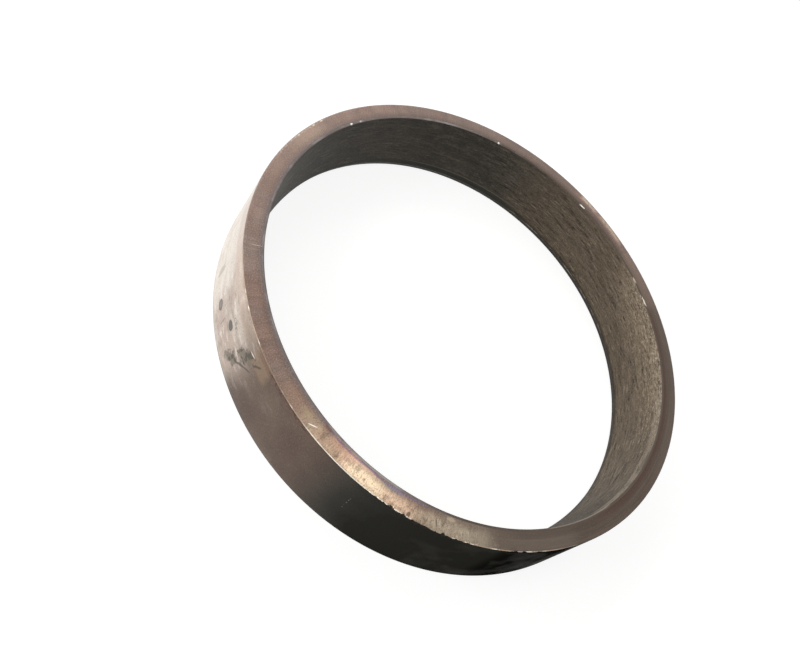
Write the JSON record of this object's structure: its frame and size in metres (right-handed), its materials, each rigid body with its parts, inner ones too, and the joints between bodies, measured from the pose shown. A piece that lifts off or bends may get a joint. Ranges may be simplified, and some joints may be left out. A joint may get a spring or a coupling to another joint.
{
  "type": "grinding ring",
  "caption": "Solid steel ring of a roller mill with a straight bore as its grinding track, a slowly tapered outer wall and bevelled edges.",
  "frame": {"origin": "centre of the large end face, on the surface that the ring lies on", "axes": "+Z along the ring's axis, from the large end up to the small end; +X and +Y free, as the ring is round"},
  "size_m": [0.9238, 0.9238, 0.15],
  "materials": {
    "ring_steel": "turned and heat tinted forged steel with brown oxide scale"
  },
  "bodies": {
    "root": {"grinding_ring": "ring_steel"}
  },
  "joints": []
}
